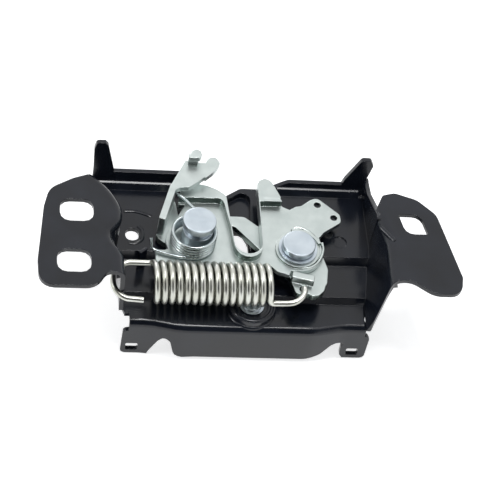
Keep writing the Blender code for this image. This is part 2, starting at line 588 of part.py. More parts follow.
def catch():
    made = prism("catch", rounded(CATCH_OUTLINE), CATCH_Z, CATCH_Z + CATCH_THICK)
    join(made, prism("catch_hub", circle(CATCH_AT, CATCH_HUB_R), CATCH_Z, CATCH_Z + CATCH_THICK))
    join(made, prism("catch_bar", rounded(CATCH_BAR), CATCH_Z, CATCH_BAR_Z))
    cut(made, prism("catch_bore", circle(CATCH_AT, HUB_BORE_R), CATCH_Z - OVER, FLOOR_Z))
    cut(made, prism("hook_hole", circle(HOOK_AT, LONG_WIRE / 2 + HOOK_CLEAR, 16), CATCH_Z - OVER, FLOOR_Z))
    made.data.materials.append(ZINC)
    return made


def release_pawl():
    made = prism("release_pawl", rounded(PAWL_PLATE), CATCH_Z, CATCH_Z + PAWL_THICK)
    join(made, prism("pawl_hub", circle(PAWL_AT, PAWL_HUB_R), CATCH_Z, CATCH_Z + PAWL_THICK))
    join(made, prism("pawl_flange", rounded(PAWL_FLANGE), CATCH_Z, FORK_Z))
    join(made, prism("fork", rounded(FORK_OUTLINE), FORK_Z - FORK_THICK, FORK_Z))
    tip_top = FORK_Z + FORK_TIP_UP
    join(made, prism("fork_neck", rounded(FORK_NECK), FORK_Z - FORK_THICK / 2, tip_top - SEAM))
    join(made, prism("fork_tip", rounded(FORK_TIP), tip_top - FORK_THICK, tip_top))
    cut(made, prism("pawl_bore", circle(PAWL_AT, HUB_BORE_R), CATCH_Z - OVER, FLOOR_Z))
    made.data.materials.append(ZINC)
    return made


def rivet(name, at, seat_z, head_r, head_thick, under_z, collar=0):
    """A shouldered rivet: head, optional collar under it, shank and the tail spread under the base."""
    top = seat_z + collar + head_thick
    profile = [(0, top), (head_r - 0.8, top), (head_r, top - 0.8), (head_r, seat_z + collar)]
    if collar:
        profile += [(COLLAR_R, seat_z + collar), (COLLAR_R, seat_z)]
    tail_z = under_z - TAIL_THICK
    profile += [(SHANK_R, seat_z), (SHANK_R, under_z), (TAIL_R, under_z), (TAIL_R - 0.8, tail_z), (0, tail_z)]
    made = turned(name, profile, at)
    made.data.materials.append(ZINC)
    return made


def ring(name, at, inner, outer, z0, z1):
    made = turned(name, [(inner, z0), (inner, z1), (outer, z1), (outer, z0)], at)
    made.data.materials.append(ZINC)
    return made


def pivots():
    """The shouldered rivets that the catch and the pawl turn on, with their bushes and washers."""
    seat = FLOOR_Z + SEAT_UP + GAP
    ring("catch_head_washer", CATCH_AT, BORE_R, HEAD_WASHER_R, seat, seat + HEAD_WASHER)
    rivet("catch_rivet", CATCH_AT, seat + HEAD_WASHER + GAP, HEAD_R, HEAD_THICK, -SHEET - GAP)
    rivet("pawl_rivet", PAWL_AT, FLOOR_Z + GAP, HEAD_R, HEAD_THICK, -SHEET - GAP, COLLAR_UP)
    for piece, at in (("catch", CATCH_AT), ("pawl", PAWL_AT)):
        ring(piece + "_washer", at, BUSH_R + GAP, WASHER_R, WASHER_Z, WASHER_Z + WASHER_THICK)
        ring(piece + "_bush", at, BORE_R, BUSH_R, GAP, COVER_Z - GAP)


def lower_rivet():
    tail_z = LOWER_UNDER_Z - LOWER_TAIL
    profile = [(0, LOWER_TOP_Z), (LOWER_FLAT_R, LOWER_TOP_Z), (LOWER_HEAD_R, LOWER_TOP_Z - LOWER_HEAD_UP / 2),
               (LOWER_HEAD_R, LOWER_SEAT_Z), (LOWER_SHANK_R, LOWER_SEAT_Z), (LOWER_SHANK_R, LOWER_UNDER_Z),
               (LOWER_HEAD_R, LOWER_UNDER_Z), (LOWER_FLAT_R, tail_z), (0, tail_z)]
    made = turned("lower_rivet", profile, LOWER_AT)
    made.data.materials.append(ZINC)


def extension_spring():
    bend, rise, end = LONG_BEND, math.radians(HOOK_RISE), 2 * math.pi * LONG_TURNS
    coil = []
    steps = round(LONG_TURNS * COIL_STEPS)
    for k in range(steps + 1):
        angle = rise + (end - rise) * k / steps
        x = LONG_START_X + (LONG_END_X - LONG_START_X) * k / steps
        y = LONG_AXIS_Y + LONG_MEAN_R * math.cos(angle)
        coil.append((x, y, LONG_AXIS_Z + LONG_MEAN_R * math.sin(angle)))

    fifths = [math.radians(18 * k) for k in range(5)]
    onward = Vector((0, -math.sin(rise), math.cos(rise))) * bend
    bends = [Vector(coil[0]) + Vector((bend * (math.sin(a) - 1), 0, 0)) - onward * math.cos(a) for a in fifths]
    leave = bends[0]
    left = [HOOK_END]
    for x, y in arc((HOOK_LOOP_X, leave.y - LONG_MEAN_R), LONG_MEAN_R, -105, -270, 9):
        down = (leave.y - y) / (2 * LONG_MEAN_R)
        left.append((x, y, leave.z + (HOOK_END[2] - leave.z) * down))
    left += bends

    near = LONG_AXIS_Y - LONG_MEAN_R
    right = [(LONG_END_X + bend - bend * math.cos(a), near, LONG_AXIS_Z - bend * math.sin(a))
             for a in fifths[1:]]
    leg = smooth_path([(LONG_END_X + bend, near, LONG_AXIS_Z - bend)] + LONG_LEG, 1.4)
    made = wire("extension_spring", left + coil + right + leg, LONG_WIRE / 2)
    made.data.materials.append(STEEL)
    return made


def torsion_spring():
    px, py = PAWL_AT[0] + COIL_OFF[0], PAWL_AT[1] + COIL_OFF[1]
    low = FLOOR_Z + GAP + COIL_WIRE / 2
    coil = []
    steps = round(COIL_TURNS * COIL_STEPS)
    for k in range(steps + 1):
        angle = -math.pi / 2 + 2 * math.pi * COIL_TURNS * k / steps
        coil.append((px + COIL_MEAN_R * math.cos(angle), py + COIL_MEAN_R * math.sin(angle),
                     low + COIL_PITCH * COIL_TURNS * k / steps))
    leg = [(x, y, low + z) for x, y, z in TORSION_LEG] + [coil[0]]
    hook = [coil[-1]] + [(x, y, coil[-1][2] + z) for x, y, z in TORSION_HOOK]
    path = smooth_path(leg, 1.8)[:-1] + coil + smooth_path(hook, 1.6)[1:]
    made = wire("torsion_spring", path, COIL_WIRE / 2)
    made.data.materials.append(STEEL)
    return made


def place_all():
    """Carries the latch from the striker line to the clamping face of the left ear."""
    datum = bpy.data.objects.new("striker_line", None)
    bpy.context.scene.collection.objects.link(datum)
    datum.location = -LEFT_DATUM * MM
    for thing in bpy.context.scene.collection.objects:
        if thing != datum and thing.parent is None:
            thing.parent = datum


def smooth_rounds():
    for thing in bpy.context.scene.collection.objects:
        if thing.type == "MESH" and not thing.hide_render:
            thing.data.shade_smooth()
            thing.data.set_sharp_from_angle(angle=math.radians(35))


clear_scene()
BLACK = material("black_ecoat", (0.022, 0.023, 0.027), 0.35, 0.0)
ZINC = material("zinc_plate", (0.62, 0.66, 0.66), 0.3, 1.0)
STEEL = material("spring_wire", (0.6, 0.6, 0.57), 0.25, 1.0)

base_plate()
cover_plate()
at_pivot(catch(), CATCH_AT)
at_pivot(release_pawl(), PAWL_AT)
pivots()
lower_rivet()
extension_spring()
torsion_spring()
smooth_rounds()
place_all()
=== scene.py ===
# %% [markdown]
# # A bonnet latch
#
# A bonnet latch holds a car's bonnet shut. A rod under the bonnet, the striker, drops into the open slot
# in the middle, a hooked catch swings round it, and a cable on the fork lets it go again. This file
# dresses a latch whose solids were made beforehand, and each step says what the piece is and why it is
# made the way it is.
#
# The solids are loaded first. They hold the sizes and the joints, so nothing here may move them.

# %% Load the solids
import math

import bpy
from mathutils import Matrix, Vector


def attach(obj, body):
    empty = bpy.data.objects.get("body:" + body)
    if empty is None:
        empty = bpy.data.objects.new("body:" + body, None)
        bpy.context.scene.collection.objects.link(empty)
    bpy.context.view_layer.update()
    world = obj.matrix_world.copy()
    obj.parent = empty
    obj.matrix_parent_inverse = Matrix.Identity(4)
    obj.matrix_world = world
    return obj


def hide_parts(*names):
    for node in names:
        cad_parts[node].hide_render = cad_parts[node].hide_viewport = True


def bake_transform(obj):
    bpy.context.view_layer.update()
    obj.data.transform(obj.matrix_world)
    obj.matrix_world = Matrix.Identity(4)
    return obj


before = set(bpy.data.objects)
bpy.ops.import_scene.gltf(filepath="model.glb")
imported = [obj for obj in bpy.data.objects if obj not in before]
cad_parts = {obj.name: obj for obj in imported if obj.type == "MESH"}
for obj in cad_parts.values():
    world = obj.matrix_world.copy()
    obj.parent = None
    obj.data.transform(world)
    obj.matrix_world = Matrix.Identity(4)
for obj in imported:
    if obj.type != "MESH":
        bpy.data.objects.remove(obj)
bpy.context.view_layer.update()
MM = 0.001
print("solids loaded:", len(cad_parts))

# %% [markdown]
# ## Where things are
#
# A latch is drawn about its striker: the middle of the slot is X = 0, the pan's floor is Z = 0 and the
# slot opens towards +Y, all in millimetres. The solids have their origin on the left ear instead, so one
# function takes a point of the drawing to the world. Three more helpers are used by every step. One lets
# go of all that is selected, because an operator acts on all of it, and one picks a single piece. The
# last ends a piece: its place goes into its mesh, it is smooth shaded up to an angle, and it gets its
# body.

# %% Places and finished pieces
STRIKER_LINE = Vector((74.0, 13.2, -20.0))
SMOOTH_ANGLE = 35


def at(x, y, z=0.0):
    """A point of the drawing, in millimetres, as a point of the world in metres."""
    return (Vector((x, y, z)) + STRIKER_LINE) * MM


def let_go():
    if bpy.context.object and bpy.context.object.mode != "OBJECT":
        bpy.ops.object.mode_set(mode="OBJECT")
    bpy.ops.object.select_all(action="DESELECT")


def pick(piece):
    let_go()
    piece.select_set(True)
    bpy.context.view_layer.objects.active = piece


def finish_piece(piece, name, body, smooth=SMOOTH_ANGLE):
    pick(piece)
    piece.name = name
    piece.data.name = name
    bpy.ops.object.transform_apply(location=True, rotation=True, scale=True)
    if smooth:
        bpy.ops.object.shade_smooth_by_angle(angle=math.radians(smooth))
    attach(piece, body)
    print(name, "has", len(piece.data.polygons), "faces")
    return piece


print("the striker's line is at", [round(c, 4) for c in at(0, 0)])

# %% [markdown]
# ## Node helpers
#
# Colours are written as they are seen on a screen, in hex, while a shader wants linear light, so one
# function converts them. Another adds a node, sets it up and links it.


# %% Colours and nodes
def seen(hex_colour):
    """A hex colour as seen on a screen, in linear light."""
    values = [int(hex_colour[i:i + 2], 16) / 255 for i in (1, 3, 5)]
    return (*[v / 12.92 if v <= 0.04045 else ((v + 0.055) / 1.055) ** 2.4 for v in values], 1.0)


def feed(tree, target, sockets):
    """Link each named socket of a node to another node's output, or give it a value."""
    for socket, value in sockets.items():
        if isinstance(value, bpy.types.NodeSocket):
            tree.links.new(value, target.inputs[socket])
        else:
            target.inputs[socket].default_value = value


def node(tree, kind, sockets, **settings):
    made = tree.nodes.new(kind)
    for key, value in settings.items():
        setattr(made, key, value)
    feed(tree, made, sockets)
    return made


def new_material(name):
    made = bpy.data.materials.new(name)
    made.use_nodes = True
    return made, made.node_tree, made.node_tree.nodes["Principled BSDF"]


print("the pale zinc #c8d0ce is", [round(c, 3) for c in seen("#c8d0ce")[:3]], "in linear light")

# %% [markdown]
# ## Patterns
#
# A finish is never one flat value. A noise drives the colour and the roughness, and a finer one ripples
# the surface. Patterns read Object coordinates in metres, and one mapping turns them into millimetres, so
# that a noise can be asked for by its size. Most of its values lie between 0.3 and 0.7. A roughness runs
# over that whole range, and a colour changes over the middle of it.
#
# The ripple is a bump on top of a Bevel node, which rounds the normals at a sharp edge, so that even the
# narrowest edge of a coated sheet catches light.

# %% Noise, ramps and rounded edges
NOISE_RANGE = (0.3, 0.7)
COLOUR_STOPS = (0.35, 0.65)
EDGE_SAMPLES = 6


def millimetres(tree):
    place = node(tree, "ShaderNodeTexCoord", {})
    scaled = node(tree, "ShaderNodeMapping", {"Vector": place.outputs["Object"], "Scale": (1000, 1000, 1000)})
    return scaled.outputs["Vector"]


def noise(tree, vector, size_mm, detail):
    made = node(tree, "ShaderNodeTexNoise", {"Vector": vector, "Scale": 1 / size_mm, "Detail": detail})
    return made.outputs["Fac"]


def ramp(tree, factor, low, high):
    """A value that runs from low to high as a noise does."""
    made = node(tree, "ShaderNodeMapRange", {"Value": factor, "From Min": NOISE_RANGE[0],
                                             "From Max": NOISE_RANGE[1], "To Min": low, "To Max": high})
    return made.outputs["Result"]


def two_colours(tree, factor, low, high):
    """A colour that runs from one hex colour to the other as a noise does."""
    made = node(tree, "ShaderNodeValToRGB", {"Fac": factor})
    for stop, place, colour in zip(made.color_ramp.elements, COLOUR_STOPS, (low, high)):
        stop.position = place
        stop.color = seen(colour)
    return made.outputs["Color"]


def coated(tree, edge_mm, height, strength, depth_mm):
    """Normals that are rounded at the edges and rippled by a noise."""
    edge = node(tree, "ShaderNodeBevel", {"Radius": edge_mm * MM}, samples=EDGE_SAMPLES)
    bump = node(tree, "ShaderNodeBump", {"Height": height, "Strength": strength, "Distance": depth_mm * MM,
                                         "Normal": edge.outputs["Normal"]})
    return bump.outputs["Normal"]


# %% [markdown]
# ## Black e-coat
#
# The base is pressed from 2 mm steel sheet and dipped in black electrocoat, a thin baked paint that flows
# into every corner. It is nearly black, with the dull gloss of paint that levelled in an oven: a faint
# orange peel about 1 mm across, and patches a little duller where the bath drained. Its edges are rounded
# by half a millimetre, which is what the eye expects of a dipped sheet.

# %% Black e-coat material
ECOAT_PATCH_MM = 16.0
ECOAT_ORANGE_PEEL_MM = 1.1
ECOAT_EDGE_MM = 0.5


def black_ecoat_paint():
    made, tree, shader = new_material("black_ecoat_paint")
    mm = millimetres(tree)
    patches = noise(tree, mm, ECOAT_PATCH_MM, 3.0)
    peel = noise(tree, mm, ECOAT_ORANGE_PEEL_MM, 2.0)
    feed(tree, shader, {
        "Base Color": two_colours(tree, patches, "#12151c", "#1a1e27"),
        "Roughness": ramp(tree, patches, 0.15, 0.22),
        "Normal": coated(tree, ECOAT_EDGE_MM, peel, strength=0.06, depth_mm=0.1),
        "Metallic": 0.0,
        "Specular IOR Level": 0.45,
    })
    return made


BLACK_ECOAT = black_ecoat_paint()
print("made", BLACK_ECOAT.name)

# %% [markdown]
# ## Bright zinc plate
#
# The cover, the levers and the rivets are steel with bright zinc electroplate and a clear bluish
# passivation. Zinc is a metal, so its colour is the colour of its reflection: pale, and a little green.
# The plating is fine grained, which blurs reflections, and it keeps the sheet's faint rolling lines: a
# noise drawn out to 8 mm along them and squeezed to 0.6 mm across.
#
# One rule makes every plated finish here, with its own two colours, gloss and edge. The walls that the
# die drew up get a darker zinc: painted shade, standing in for the dark reflections on them. The rivets
# are bluer than the sheet. The long spring is plated warm and dull, and the small coil is wound from a
# brighter wire.

# %% Zinc plate materials
ZINC_CLOUD_MM = 7.0
ZINC_GRAIN_MM = 0.5
ROLLING_PER_MM = (0.12, 1.6, 1.0)
ROLLING_TURN = (0, 0, 0.5)


def zinc_plating(name, pale, shaded, rough_low, rough_high, edge_mm):
    made, tree, shader = new_material(name)
    mm = millimetres(tree)
    clouds = noise(tree, mm, ZINC_CLOUD_MM, 4.0)
    stretched = node(tree, "ShaderNodeMapping", {"Vector": mm, "Scale": ROLLING_PER_MM,
                                                 "Rotation": ROLLING_TURN})
    rolling = noise(tree, stretched.outputs["Vector"], 1.0, 3.0)
    grain = noise(tree, mm, ZINC_GRAIN_MM, 1.0)
    feed(tree, shader, {
        "Base Color": two_colours(tree, clouds, shaded, pale),
        "Roughness": ramp(tree, rolling, rough_low, rough_high),
        "Normal": coated(tree, edge_mm, grain, strength=0.05, depth_mm=0.05),
        "Metallic": 1.0,
    })
    print("made", name)
    return made


ZINC_SHEET = zinc_plating("bright_zinc_plated_sheet", "#c8d0ce", "#bcc5c3", 0.28, 0.38, 0.35)
# The wall zinc is darker on purpose: painted shade standing in for the dark reflections on steep walls.
ZINC_WALL_PAINTED_SHADE = zinc_plating("zinc_wall_painted_shade", "#84918b", "#6a7771", 0.24, 0.34, 0.35)
ZINC_RIVET = zinc_plating("blue_zinc_plated_rivet", "#c6cfd6", "#b9c3cb", 0.30, 0.40, 0.3)
SPRING_WIRE = zinc_plating("zinc_plated_spring_wire", "#d4d6d0", "#b9bab0", 0.30, 0.38, 0.1)
COIL_STEEL = zinc_plating("blue_zinc_plated_coil_wire", "#ccd5d6", "#aeb8ba", 0.20, 0.28, 0.1)

# %% [markdown]
# ## Thicken an outline
#
# Much of a pressing is a flat outline with a thickness. A circle with as many corners as the outline has
# is added, its corners are put in their places and rounded, and a Solidify modifier thickens it by half
# on either side, so it doesn't matter which way round the outline runs. Extruding its face would give
# the same shape, but with its sides in another order in every run, and then the Booleans that follow
# wouldn't come out quite the same. A plate is such an outline drawn from above.

# %% Outlines and plates
CORNER_STEPS = 4


def apply_modifier(piece, kind, **settings):
    pick(piece)
    made = piece.modifiers.new(kind.lower(), kind)
    for key, value in settings.items():
        setattr(made, key, value)
    bpy.ops.object.modifier_apply(modifier=made.name)


def thickened(corners, thickness_mm, round_mm=0.0):
    """A closed outline in millimetres, with its corners rounded, thickened on both its sides."""
    let_go()
    bpy.ops.mesh.primitive_circle_add(vertices=len(corners), radius=MM, fill_type="NGON", location=(0, 0, 0))
    piece = bpy.context.object
    for corner, place in zip(piece.data.vertices, corners):
        corner.co = at(*place)
    piece.data.update()
    if round_mm:
        bpy.ops.object.mode_set(mode="EDIT")
        bpy.ops.mesh.select_all(action="SELECT")
        bpy.ops.mesh.bevel(offset=round_mm * MM, segments=CORNER_STEPS, affect="VERTICES")
        bpy.ops.object.mode_set(mode="OBJECT")
    apply_modifier(piece, "SOLIDIFY", thickness=thickness_mm * MM, offset=0)
    return piece


def plate(corners, low_z, high_z, round_mm=0.0):
    """A flat piece cut out of sheet, seen from above."""
    return thickened([(x, y, (low_z + high_z) / 2) for x, y in corners], high_z - low_z, round_mm)


# %% [markdown]
# ## Copy, cut and join
#
# The solids of the base, the cover and the two levers have the right outlines, but a cut in them is as
# sharp as a drawing, and a few small shapes of the pressed sheet are finer than the solids are made to
# be. The solids themselves stay as they are. A copy is merged into one skin, plates are joined to it or
# cut from it, and the copy then stands for the solid.
#
# A joined plate that has to lie flush gets the very heights of the sheet, and the flat faces are joined
# up afterwards. Any other stays a few hundredths of a millimetre inside the faces round it, because a
# Boolean is surer where no two faces share a plane.

# %% Copy a solid and combine it
SPLIT_MM = 0.004


def merged_copy(node_name):
    """A copy of a solid with a mesh of its own, whose split corners are merged."""
    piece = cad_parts[node_name].copy()
    piece.data = piece.data.copy()
    bpy.context.scene.collection.objects.link(piece)
    for key in list(piece.keys()):
        del piece[key]
    piece.parent = None
    pick(piece)
    bpy.ops.object.mode_set(mode="EDIT")
    bpy.ops.mesh.select_all(action="SELECT")
    bpy.ops.mesh.remove_doubles(threshold=SPLIT_MM * MM)
    bpy.ops.object.mode_set(mode="OBJECT")
    return piece


def combine(piece, operation, *tools):
    """Join other pieces to a piece, or cut it with them. They are used up."""
    for tool in tools:
        apply_modifier(piece, "BOOLEAN", operation=operation, solver="EXACT", object=tool)
        bpy.data.objects.remove(tool, do_unlink=True)


# %% [markdown]
# ## Soften the edges
#
# A pressed and plated edge isn't sharp: the punch rolls it over and the plating rounds it. The slivers
# that cutting leaves are merged, the flat faces are joined up again, and a narrow bevel goes on every
# edge sharper than 30 degrees. Blender holds a whole bevel back when the smallest faces leave it no room.
# On the base, the cover and the pawl it is held to a hair, and the material's Bevel node does the
# rounding that shows. The catch has room all round, so its bevel is let out to its full width.
#
# Walls get a darker finish of their own, found by their place: steep faces that start at one level. Its
# darkness is painted shade, for the dark that the walls mirror. Weighted normals come last. They let the
# large faces rule the shading, so a flat stays flat up to its rolled edge.

# %% Join flats, paint walls and roll edges
SLIVER_MM = 0.03
FLAT_ANGLE = 0.6
ROLLED_ANGLE = 30
BEVEL_STEPS = 2
STEEP = 0.3
FOOT_REACH_MM = 0.1


def join_flats(piece):
    pick(piece)
    bpy.ops.object.mode_set(mode="EDIT")
    bpy.ops.mesh.select_all(action="SELECT")
    bpy.ops.mesh.remove_doubles(threshold=SLIVER_MM * MM)
    bpy.ops.mesh.dissolve_degenerate(threshold=SLIVER_MM * MM)
    bpy.ops.mesh.dissolve_limited(angle_limit=math.radians(FLAT_ANGLE))
    bpy.ops.object.mode_set(mode="OBJECT")


def paint(piece, finish, painted_shade_on_walls=None, wall_foot=0.0):
    """One finish all over, and a darker one on the walls whose feet are at wall_foot: painted shade."""
    piece.data.materials.clear()
    piece.data.materials.append(finish)
    if painted_shade_on_walls:
        piece.data.materials.append(painted_shade_on_walls)
        foot = at(0, 0, wall_foot).z
        for face in piece.data.polygons:
            low = min((piece.matrix_world @ piece.data.vertices[i].co).z for i in face.vertices)
            if abs(face.normal.z) < STEEP and abs(low - foot) < FOOT_REACH_MM * MM:
                face.material_index = 1


def roll_edges(piece, name, body, width_mm, hold_back=True):
    """Bevel the sharp edges and finish the piece, with its flat faces still flat."""
    apply_modifier(piece, "BEVEL", width=width_mm * MM, segments=BEVEL_STEPS, limit_method="ANGLE",
                   angle_limit=math.radians(ROLLED_ANGLE), use_clamp_overlap=hold_back)
    finish_piece(piece, name, body)
    apply_modifier(piece, "WEIGHTED_NORMAL", keep_sharp=True)


# %% [markdown]
# ## The base
#
# The base is one deep pressing: a pan with steps, a far flange, side walls with ears and a hanging near
# flange. The striker's foot passes through a window in the pan. In the photograph the window's right
# side bows inwards, so a strip with a curved edge is added there.

# %% Press the base
WINDOW_EDGE = [(-1.4, 9.7), (0.63, 8.05), (1.9, 5.2), (2.5, 2.6), (2.4, -1.2), (3.4, -1.2), (3.4, 9.7)]

base = merged_copy("base_plate")
combine(base, "UNION", plate(WINDOW_EDGE, low_z=-4.9, high_z=-3.02))
join_flats(base)
paint(base, BLACK_ECOAT)
roll_edges(base, "base_stamping", "base", width_mm=0.45)
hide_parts("base_plate")

# %% [markdown]
# ## The slotted cover
#
# The cover guides the striker. Its slot has a rim, drawn up out of the floor, that stiffens it. The solid
# has this rim as a plain wide wall. On the real sheet it is slim, it curves round the slot's closed end,
# and at its mouth it steps outwards, to the left and to the right. So what lies outside that line is cut
# away down to the floor, the right-hand step is added, and the floor's corner behind it is cut back.
# A plate also closes a hair-wide slit that the solid has beside the rim.

# %% Press the cover
COVER_FOOT_Z = 4.9
COVER_FLOOR_Z = 7.1

RIM_WASTE = [
    (-28.4, 17.2), (-19.2, 17.4), (-11.4, 17.5), (-10, 17), (-9.2, 16), (-8.8, 14.5), (-8.5, 12.3),
    (-7.9, 8.3), (-7, 2.8), (-6.6, -4.3), (-6.1, -8.6), (-5.2, -11), (-3.7, -13), (-1.7, -14.1),
    (0.7, -14.3), (3.1, -13.4), (4.9, -11.9), (5.9, -9.9), (6.4, -5.9), (6.5, 3.6), (6.9, 12.5),
    (6.9, 16.6), (12, 16.6), (12, -16), (2, -18), (-8, -17), (-14, -8), (-14, 10), (-28.4, 10)]
FLOOR_CORNER = [(17.2, 16.9), (20.4, 15.2), (24, 17.6), (23, 22), (14.9, 22), (15.9, 19.2)]
SLIT = [(7.8, 7.3), (9.6, 7.3), (9.6, 17.2), (7.8, 17.2)]
RIGHT_STEP = [(6.9, 16.9), (16.7, 16.9), (15.8, 19.2), (6.9, 19.2)]

cover = merged_copy("cover_plate")
combine(cover, "DIFFERENCE",
        plate(FLOOR_CORNER, low_z=4, high_z=8.3, round_mm=0.3),
        plate(RIM_WASTE, low_z=COVER_FLOOR_Z, high_z=11.5))
combine(cover, "UNION",
        plate(SLIT, low_z=COVER_FOOT_Z, high_z=COVER_FLOOR_Z),
        plate(RIGHT_STEP, low_z=6.9, high_z=10.55, round_mm=0.3))
join_flats(cover)
# The walls that rise from the cover's floor get the darker wall zinc: painted shade.
paint(cover, ZINC_SHEET, ZINC_WALL_PAINTED_SHADE, COVER_FLOOR_Z)
roll_edges(cover, "slotted_cover", "base", width_mm=0.3)
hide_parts("cover_plate")

# %% [markdown]
# ## The catch
#
# The catch is the hook that holds the striker, blanked from thick plate. It turns on its rivet under the
# cover, and the long spring pulls at its near end, which is a full round lobe. The lobe is added to the
# solid's straight end. Its blanked sides get the darker wall zinc, painted shade for the dark they mirror.

# %% Blank the catch
LEVER_FOOT_Z = 1.4
LEVER_TOP_Z = 4.6
CATCH_LOBE = [(30, -19), (33.8, -19), (33.2, -22.6), (31.8, -26.7), (29.6, -28.9), (26.6, -29.7),
              (25, -28.7), (24.6, -26.5), (25, -22)]

catch = merged_copy("catch")
combine(catch, "UNION", plate(CATCH_LOBE, low_z=LEVER_FOOT_Z, high_z=LEVER_TOP_Z, round_mm=0.5))
join_flats(catch)
paint(catch, ZINC_SHEET, ZINC_WALL_PAINTED_SHADE, LEVER_FOOT_Z)
roll_edges(catch, "hooked_catch", "catch", width_mm=0.3, hold_back=False)
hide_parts("catch")

# %% [markdown]
# ## The release pawl
#
# The pawl holds the catch shut until the cable pulls its fork. It lies level with the catch, under the
# cover, and its flange carries the fork up to the cable. The fork's two fingers end in full rounds, so
# that the cable's nipple slips between them, and the left one stands higher than the right one. Rounder
# ends are joined to the solid's fingers, kept just inside the solid's box.

# %% Bend the pawl
RIGHT_FINGER = [(-19.5, 26), (-17.2, 30.8), (-15.8, 34.4), (-14.5, 36.1), (-12.7, 36.55), (-11.1, 35.8),
                (-10.5, 33.4), (-11.3, 30.6), (-13.3, 27.9), (-16.8, 24.6)]
LEFT_FINGER = [(-24.4, 31.7), (-23.7, 34.4), (-22.5, 36), (-20.7, 36.55), (-18.9, 35.9), (-18.4, 33.6),
               (-19.5, 31.7)]

pawl = merged_copy("release_pawl")
combine(pawl, "UNION",
        plate(RIGHT_FINGER, low_z=13.02, high_z=15.48, round_mm=0.5),
        plate(LEFT_FINGER, low_z=17.7, high_z=19.95, round_mm=0.5))
join_flats(pawl)
# The pawl's steep faces that rise from the lever's foot get the darker wall zinc: painted shade.
paint(pawl, ZINC_SHEET, ZINC_WALL_PAINTED_SHADE, LEVER_FOOT_Z)
roll_edges(pawl, "forked_pawl", "release_pawl", width_mm=0.3)
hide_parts("release_pawl")

# %% [markdown]
# ## Turned pieces
#
# A turned piece is made as a lathe would: a circle is filled, then extruded and resized from one level of
# its profile to the next. A circle can't shrink to nothing, so the profile ends at a hundredth of a
# millimetre.

# %% Turn a profile
RIVET_SIDES = 72
RIVET_SMOOTH_ANGLE = 24
TIP = 0.01


def turned(name, centre, levels):
    """A plated solid turned about a vertical axis through levels of (radius, z), in order."""
    let_go()
    first_radius, first_z = levels[0]
    bpy.ops.mesh.primitive_circle_add(vertices=RIVET_SIDES, radius=first_radius * MM, fill_type="NGON",
                                      location=at(*centre, first_z))
    piece = bpy.context.object
    bpy.ops.object.mode_set(mode="EDIT")
    bpy.ops.mesh.select_all(action="SELECT")
    for (radius, z), (next_radius, next_z) in zip(levels, levels[1:]):
        bpy.ops.mesh.extrude_region_move(TRANSFORM_OT_translate={"value": (0, 0, (next_z - z) * MM)})
        share = next_radius / radius
        bpy.ops.transform.resize(value=(share, share, 1), center_override=at(*centre, next_z))
    bpy.ops.mesh.select_all(action="SELECT")
    bpy.ops.mesh.normals_make_consistent(inside=False)
    bpy.ops.object.mode_set(mode="OBJECT")
    piece.data.materials.append(ZINC_RIVET)
    return finish_piece(piece, name, "base", smooth=RIVET_SMOOTH_ANGLE)


# %% [markdown]
# ## Rivets
#
# Both pivots are shouldered rivets. Their heads are upset in a die, which leaves a flat top with a
# rounded rim, and both heads come from one die. The pawl's rivet also has a tall collar, round which the
# coil spring sits. The third rivet, under the long spring, only joins the sheets. It is low, with a flange
# round a small domed head. The bushes and washers keep their solids and only get the plating.

# %% Turn the rivets
CATCH_AT = (21.6, -7.5)
PAWL_AT = (-22.0, -4.2)
LOWER_AT = (2.0, -28.2)
SHANK = 2.8
TAIL = [(4.2, -4.1), (5.0, -3.3), (5.0, -2.3), (SHANK, -2.3)]
COLLAR = [(SHANK, 7.4), (6.5, 7.4), (6.5, 15.2), (6.3, 15.5), (5.2, 15.5), (5.2, 18.6)]
HEAD_HEIGHT = 3.0


def upset_head(foot_z):
    top_z = foot_z + HEAD_HEIGHT
    return [(6.9, foot_z), (7.1, foot_z + 0.2), (7.1, top_z - 0.6), (7.0, top_z - 0.25),
            (6.8, top_z - 0.07), (6.5, top_z), (6.2, top_z), (TIP, top_z)]


catch_rivet = turned("catch_rivet_head", CATCH_AT, TAIL + [(SHANK, 9.5)] + upset_head(9.5))
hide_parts("catch_rivet")
pawl_rivet = turned("pawl_rivet_head", PAWL_AT, TAIL + COLLAR + upset_head(18.6))
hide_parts("pawl_rivet")
lower_rivet = turned("lower_rivet_head", LOWER_AT, [
    (2.8, -7.7), (3.6, -7.5), (4.2, -6.3), (2.4, -6.3), (2.4, -4.6), (5.3, -4.6), (5.3, -4.3), (4.2, -4.15),
    (4.1, -3.9), (3.9, -3.6), (3.4, -3.4), (3.0, -3.4), (TIP, -3.4)])
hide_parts("lower_rivet")

for name in ("catch_bush", "pawl_bush", "catch_washer", "pawl_washer", "catch_head_washer"):
    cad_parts[name].data.materials.clear()
    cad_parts[name].data.materials.append(ZINC_RIVET)
    print(name, "keeps its solid")

# %% [markdown]
# ## Paths and wire
#
# A spring is wound from drawn wire, so it is modelled as a path and a round section. The path's points
# follow the rule of a coil, with hooks and legs on smooth curves through a few points at each end.
# Both springs change shape in use. Here each is one mesh, built as it lies at rest.

# %% Smooth paths and wire
WIRE_STEP_MM = 0.5
WIRE_ROUND_STEPS = 5


def smooth_path(points, step):
    """Points along a smooth curve through the given ones (Catmull-Rom)."""
    given = [Vector(p) for p in points]
    given = [2 * given[0] - given[1]] + given + [2 * given[-1] - given[-2]]
    out = []
    for a, b, c, d in zip(given, given[1:], given[2:], given[3:]):
        count = max(1, round((c - b).length / step))
        for k in range(count):
            t = k / count
            out.append(0.5 * (2 * b + (c - a) * t + (2 * a - 5 * b + 4 * c - d) * t ** 2
                              + (3 * b - a - 3 * c + d) * t ** 3))
    return out + [given[-2]]


def arc_points(centre, radius, start, end, steps):
    spokes = (math.radians(start + (end - start) * k / steps) for k in range(steps + 1))
    return [(centre[0] + radius * math.cos(a), centre[1] + radius * math.sin(a)) for a in spokes]


